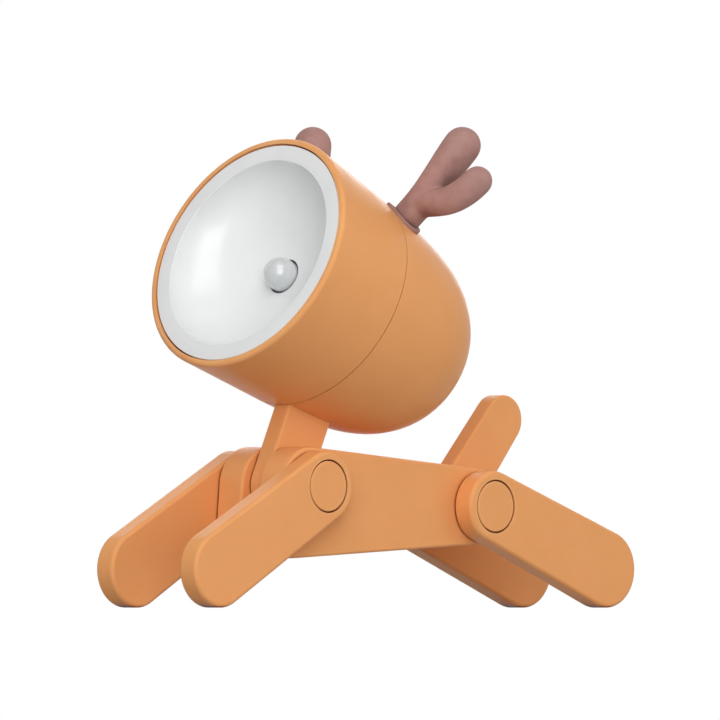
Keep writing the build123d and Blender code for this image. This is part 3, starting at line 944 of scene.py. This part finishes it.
@dataclass
class Lamp:
    """The round lamp: a cast lens over a white cup with its bed of phosphor, in a dark seal.

    Depths are counted from the rim along the head's axis.
    """

    head: HeadPlace
    dome: float = 3.05 * MM
    dome_depth: float = 9.4 * MM
    dome_steps: int = 20
    foot: float = 3.7 * MM
    foot_front: float = 12.0 * MM
    foot_back: float = 13.0 * MM
    foot_round: float = 0.15 * MM
    cup: float = 1.9 * MM
    cup_wall: float = 0.12 * MM
    cup_front: float = 9.3 * MM
    cup_floor: float = 10.9 * MM
    cup_back: float = 11.14 * MM
    cup_floor_radius: float = 1.14 * MM
    post: float = 0.4 * MM
    bed_gap: float = 0.06 * MM
    bed_crown: float = 0.3 * MM
    bed_steps: int = 10
    seal: Limits = (3.06 * MM, 3.39 * MM)
    seal_depths: Limits = (10.75 * MM, 11.95 * MM)
    segments: int = 64

    def lens(self) -> Profile:
        """Outline of the lens from its pole to its foot.

        Returns:
            Radii and depths.
        """
        dome = [
            (self.dome * math.sin(a), self.dome_depth - self.dome * math.cos(a))
            for a in quarter(self.dome_steps)
        ]
        inner = self.foot - self.foot_round
        foot = [
            (self.dome, self.foot_front), (inner, self.foot_front),
            (self.foot, self.foot_front + self.foot_round), (self.foot, self.foot_back - self.foot_round),
            (inner, self.foot_back), (0.0, self.foot_back),
        ]
        return [*dome, *foot]

    def holder(self) -> Profile:
        """Outline of the cup, from the middle of its floor round its lip and down its post.

        Returns:
            Radii and depths.
        """
        post_end = self.foot_back - self.foot_round
        return [
            (0.0, self.cup_floor), (self.cup_floor_radius, self.cup_floor),
            (self.cup - self.cup_wall, self.cup_front), (self.cup, self.cup_front),
            (self.cup_floor_radius + self.cup_wall, self.cup_back), (self.post, self.cup_back),
            (self.post, post_end), (0.0, post_end),
        ]

    def bed(self) -> Profile:
        """Outline of the phosphor that fills the cup, crowned at its front.

        Returns:
            Radii and depths.
        """
        top = self.cup - self.cup_wall - self.bed_gap
        low = self.cup_floor_radius - self.cup_wall
        floor = self.cup_floor - self.cup_wall
        crown = [
            (top * math.sin(a), self.cup_front + self.bed_crown * (1 - 2 * math.cos(a)))
            for a in quarter(self.bed_steps)
        ]
        return [*crown, (low, floor), (0.0, floor)]

    def gasket(self) -> Profile:
        """Loop round the section of the seal between the lens and its hole.

        Returns:
            Radii and depths.
        """
        (inner, outer), (front, back) = self.seal, self.seal_depths
        return [(inner, front), (outer, front), (outer, back), (inner, back)]

    def turned(self, name: str, outline: Profile, material: bpy.types.Material,
               loop: bool = False) -> bpy.types.Object:
        """Make a turned piece of the lamp.

        Args:
            name: Name of the piece.
            outline: Its radii and depths.
            material: Its finish.
            loop: Whether the outline's end joins its start.

        Returns:
            The new object.
        """
        shape = lathe(outline, self.segments, loop)
        shape.transform(self.head.axis_frame())
        mesh = written(shape, name)
        paint(mesh, material)
        smooth(mesh)
        return piece(name, mesh, "head")

    def build(self, finishes: Finishes) -> None:
        """Build the lens in place of the lamp's CAD node, and the cup, the phosphor and the seal.

        Args:
            finishes: The light's finishes.
        """
        item = self.turned("lamp_lens", self.lens(), finishes.resin)
        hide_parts("led_lamp")
        self.turned("lamp_cup", self.holder(), finishes.white)
        self.turned("lamp_phosphor", self.bed(), finishes.phosphor)
        self.turned("lamp_seal", self.gasket(), finishes.dark, loop=True)


@dataclass
class Reflector:
    """The white ring and bowl in the mouth, with a crisp lip and two posts for the lamp's board.

    Depths are counted from the rim along the head's axis.
    """

    head: HeadPlace
    bowl: float = 18.5 * MM
    ring: float = 21.55 * MM
    front: float = 0.25 * MM
    depth: float = 10.7 * MM
    wall: float = 1.2 * MM
    lip: float = 0.15 * MM
    lip_steps: int = 6
    skirt: float = 1.0 * MM
    skirt_back: float = 3.2 * MM
    hole: float = 3.4 * MM
    post: float = 2.0 * MM
    post_offset: float = 10.5 * MM
    post_back: float = 14.6 * MM
    post_segments: int = 48
    pilot: float = 0.83 * MM
    pilot_depth: float = 3.0 * MM
    segments: int = 160
    steps: int = 40

    @property
    def run(self) -> float:
        """How deep the bowl's ellipse is behind the ring's face."""
        return self.depth - self.front

    def curve(self, behind: float) -> list[tuple[float, float]]:
        """Half an ellipse from the hole to the ring, on the bowl's face or a distance behind it.

        Args:
            behind: Distance behind the face.

        Returns:
            Radii and depths.
        """
        radius = self.bowl + behind
        start = math.asin(self.hole / radius)
        turns = [start + (math.pi / 2 - start) * i / self.steps for i in range(self.steps + 1)]
        return [(radius * math.sin(t), self.front + behind + self.run * math.cos(t)) for t in turns]

    def section(self) -> Profile:
        """Loop round the bowl's face, the lip, the ring, the skirt and the bowl's back.

        Returns:
            Radii and depths.
        """
        arc = quarter(self.lip_steps)
        lip = [
            (self.bowl + self.lip * (1 - math.cos(a)), self.front + self.lip * (1 - math.sin(a)))
            for a in arc
        ]
        rim = [
            (self.ring - self.lip * (1 - math.sin(a)), self.front + self.lip * (1 - math.cos(a)))
            for a in arc
        ]
        inner = self.ring - self.skirt
        skirt = [(self.ring, self.skirt_back), (inner, self.skirt_back), (inner, self.front + self.wall)]
        return [*self.curve(0.0)[:-1], *lip, *rim, *skirt, *reversed(self.curve(self.wall))]

    def pillar(self, side: Side) -> bmesh.types.BMesh:
        """A post with its pilot hole, rooted in the middle of the bowl's wall.

        Args:
            side: Side of the deer.

        Returns:
            A closed mesh in the head's frame.
        """
        floor = self.post_back - self.pilot_depth
        mesh = lathe([
            (0.0, 0.0), (self.post, 0.0), (self.post, self.post_back), (self.pilot, self.post_back),
            (self.pilot, floor), (0.0, floor),
        ], self.post_segments)
        middle = self.wall / 2
        for vert in mesh.verts:
            vert.co.y += side.value * self.post_offset
            if vert.co.z == 0.0:
                share = math.hypot(vert.co.x, vert.co.y) / (self.bowl + middle)
                vert.co.z = self.front + middle + self.run * math.sqrt(1 - share ** 2)
        return mesh

    def build(self, finishes: Finishes) -> None:
        """Build the reflector in place of its CAD node.

        Args:
            finishes: The light's finishes.
        """
        shapes = [lathe(self.section(), self.segments, loop=True), *(self.pillar(side) for side in Side)]
        for shape in shapes:
            shape.transform(self.head.axis_frame())
        mesh, *posts = [written(shape, "reflector_part") for shape in shapes]
        for post in posts:
            mesh = united(mesh, post)
        paint(mesh, finishes.white)
        smooth(mesh)
        item = piece("reflector_bowl", mesh, "head")
        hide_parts("reflector")


@dataclass
class LampHead:
    """The shells and the button."""

    shells: tuple[str, ...] = ("head_front_shell", "head_rear_shell")
    buttons: tuple[str, ...] = ("push_button",)

    def build(self, finishes: Finishes) -> None:
        """Dress the head's shells and button."""
        dress(self.shells, finishes.shell)
        dress(self.buttons, finishes.orange)


@dataclass
class Supply:
    """What stands behind the reflector: boards, cells, contacts and the switch."""

    metal: tuple[str, ...] = ("led_leads", "led_board_screws", "switch_board_screws", "button_cells")
    boards: tuple[str, ...] = ("led_board", "switch_board")
    contacts: tuple[str, ...] = ("contact_spring", "contact_strap")
    mouldings: tuple[str, ...] = ("battery_tube", "switch_body", "switch_plunger", "switch_wires")

    def build(self, finishes: Finishes) -> None:
        """Dress the inner pieces of the head.

        Args:
            finishes: The light's finishes.
        """
        dress(self.metal, finishes.steel)
        dress(self.boards, finishes.board)
        dress(self.contacts, finishes.brass)
        dress(self.mouldings, finishes.dark)


@dataclass
class Stand:
    """Torso, neck, tail and legs with their pivots."""

    bars: tuple[str, ...] = ("torso", "neck", "tail")
    places: tuple[str, ...] = ("front_left", "front_right", "rear_left", "rear_right")
    sleeves: tuple[str, ...] = ("front_pivot_sleeve", "rear_pivot_sleeve")
    clamps: tuple[str, ...] = ("front_leg_screws", "rear_leg_screws", "leg_spring_washers")

    def build(self, finishes: Finishes) -> None:
        """Dress the body, the legs and their pivots.

        Args:
            finishes: The light's finishes.
        """
        dress(self.bars, finishes.orange)
        for place in self.places:
            dress((f"{place}_leg", f"{place}_cap"), finishes.orange)
        dress(self.sleeves, finishes.brass)
        dress(self.clamps, finishes.steel)


@dataclass(frozen=True)
class SoftBox:
    """A soft square lamp: where it stands, its power in watts and the side of its face."""

    name: str
    place: Triple
    watts: float
    width: float = 0.7


@dataclass
class Studio:
    """The floor, the light and the camera."""

    ambient: float = 0.3
    floor_radius: float = 1.6
    floor_segments: int = 96
    floor_cloud: float = 0.4
    floor_tones: tuple[str, str] = ("ADADAD", "B0B0B0")
    floor_roughness: float = 0.9
    floor_glow: float = 0.62
    view_width: float = 131.1 * MM
    view_turn: float = math.radians(-45.0)
    view_centre: Vector = field(default_factory=lambda: Vector((-0.73, 0.73, 45.1)) * MM)
    view_distance: float = 0.6
    view_start: float = 0.01
    lamps: tuple[SoftBox, ...] = (
        SoftBox("front_softbox", (-0.704, -0.703, 0.145), 5.0),
        SoftBox("upper_softbox", (-0.501, -0.499, 0.752), 3.4),
        SoftBox("side_softbox", (0.626, -0.765, 0.193), 2.15),
        SoftBox("back_softbox", (0.656, 0.656, 0.416), 2.8),
    )

    def _background_share(self, tree: bpy.types.NodeTree) -> Socket:
        """Tell the rays that show the background from the others.

        Args:
            tree: Node tree of a material or of the world.

        Returns:
            One for camera, glossy and transmission rays and zero for the others.
        """
        path = tree.nodes.new("ShaderNodeLightPath")
        share = path.outputs["Is Camera Ray"]
        for name in ("Is Glossy Ray", "Is Transmission Ray"):
            node = tree.nodes.new("ShaderNodeMath")
            node.operation = "MAXIMUM"
            tree.links.new(share, node.inputs[0])
            tree.links.new(path.outputs[name], node.inputs[1])
            share = node.outputs["Value"]
        return share

    def world(self) -> None:
        """White surroundings for the camera, plain ambient light for the object."""
        world = bpy.data.worlds.new("surroundings")
        world.use_nodes = True
        tree = world.node_tree
        strength = tree.nodes.new("ShaderNodeMapRange")
        strength.inputs["To Min"].default_value = self.ambient
        strength.inputs["To Max"].default_value = 1.0
        tree.links.new(self._background_share(tree), strength.inputs["Value"])
        background = tree.nodes["Background"]
        background.inputs["Color"].default_value = WHITE_LIGHT
        tree.links.new(strength.outputs["Result"], background.inputs["Strength"])
        bpy.context.scene.world = world

    def floor(self) -> None:
        """A plain pale round floor that keeps the object's shadow."""
        disc = bmesh.new()
        bmesh.ops.create_circle(disc, cap_ends=True, segments=self.floor_segments, radius=self.floor_radius)
        data = written(disc, "floor")
        item = bpy.data.objects.new("floor", data)
        bpy.context.scene.collection.objects.link(item)
        shade = Shade("floor_paint")
        shade.drive("Base Color", shade.tones(shade.noise(self.floor_cloud), *self.floor_tones))
        shade.constants(Roughness=self.floor_roughness, Emission_Color=WHITE_LIGHT)
        glow = shade.spread(self._background_share(shade.tree), (0.0, self.floor_glow), RISING)
        shade.drive("Emission Strength", glow)
        data.materials.append(shade.material)

    def light(self, lamp: SoftBox) -> None:
        """Add a lamp that faces the object.

        Args:
            lamp: The lamp.
        """
        data = bpy.data.lights.new(lamp.name, "AREA")
        data.size = lamp.width
        data.energy = lamp.watts
        item = bpy.data.objects.new(lamp.name, data)
        item.location = lamp.place
        item.rotation_euler = (self.view_centre - Vector(lamp.place)).to_track_quat("-Z", "Y").to_euler()
        bpy.context.scene.collection.objects.link(item)

    def camera(self) -> None:
        """A level view without perspective, turned from the side towards the face."""
        data = bpy.data.cameras.new("view")
        data.type = "ORTHO"
        data.ortho_scale = self.view_width
        data.clip_start = self.view_start
        item = bpy.data.objects.new("view", data)
        back = Vector((math.sin(self.view_turn), -math.cos(self.view_turn), 0.0))
        item.location = self.view_centre + back * self.view_distance
        item.rotation_euler = (math.pi / 2, 0.0, self.view_turn)
        bpy.context.scene.collection.objects.link(item)
        bpy.context.scene.camera = item

    def build(self) -> None:
        """Set up everything around the object."""
        bpy.context.scene.view_settings.view_transform = "Standard"
        self.camera()
        self.world()
        self.floor()
        for lamp in self.lamps:
            self.light(lamp)


def main() -> None:
    """Build the light's looks and its surroundings."""
    logging.basicConfig(level=logging.INFO, format="%(message)s")
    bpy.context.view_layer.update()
    head = HeadPlace()
    finishes = Finishes(head)
    Studio().build()
    Stand().build(finishes)
    LampHead().build(finishes)
    Reflector(head).build(finishes)
    Lamp(head).build(finishes)
    Supply().build(finishes)
    Antlers(head).build(finishes)


if __name__ == "__main__":
    main()
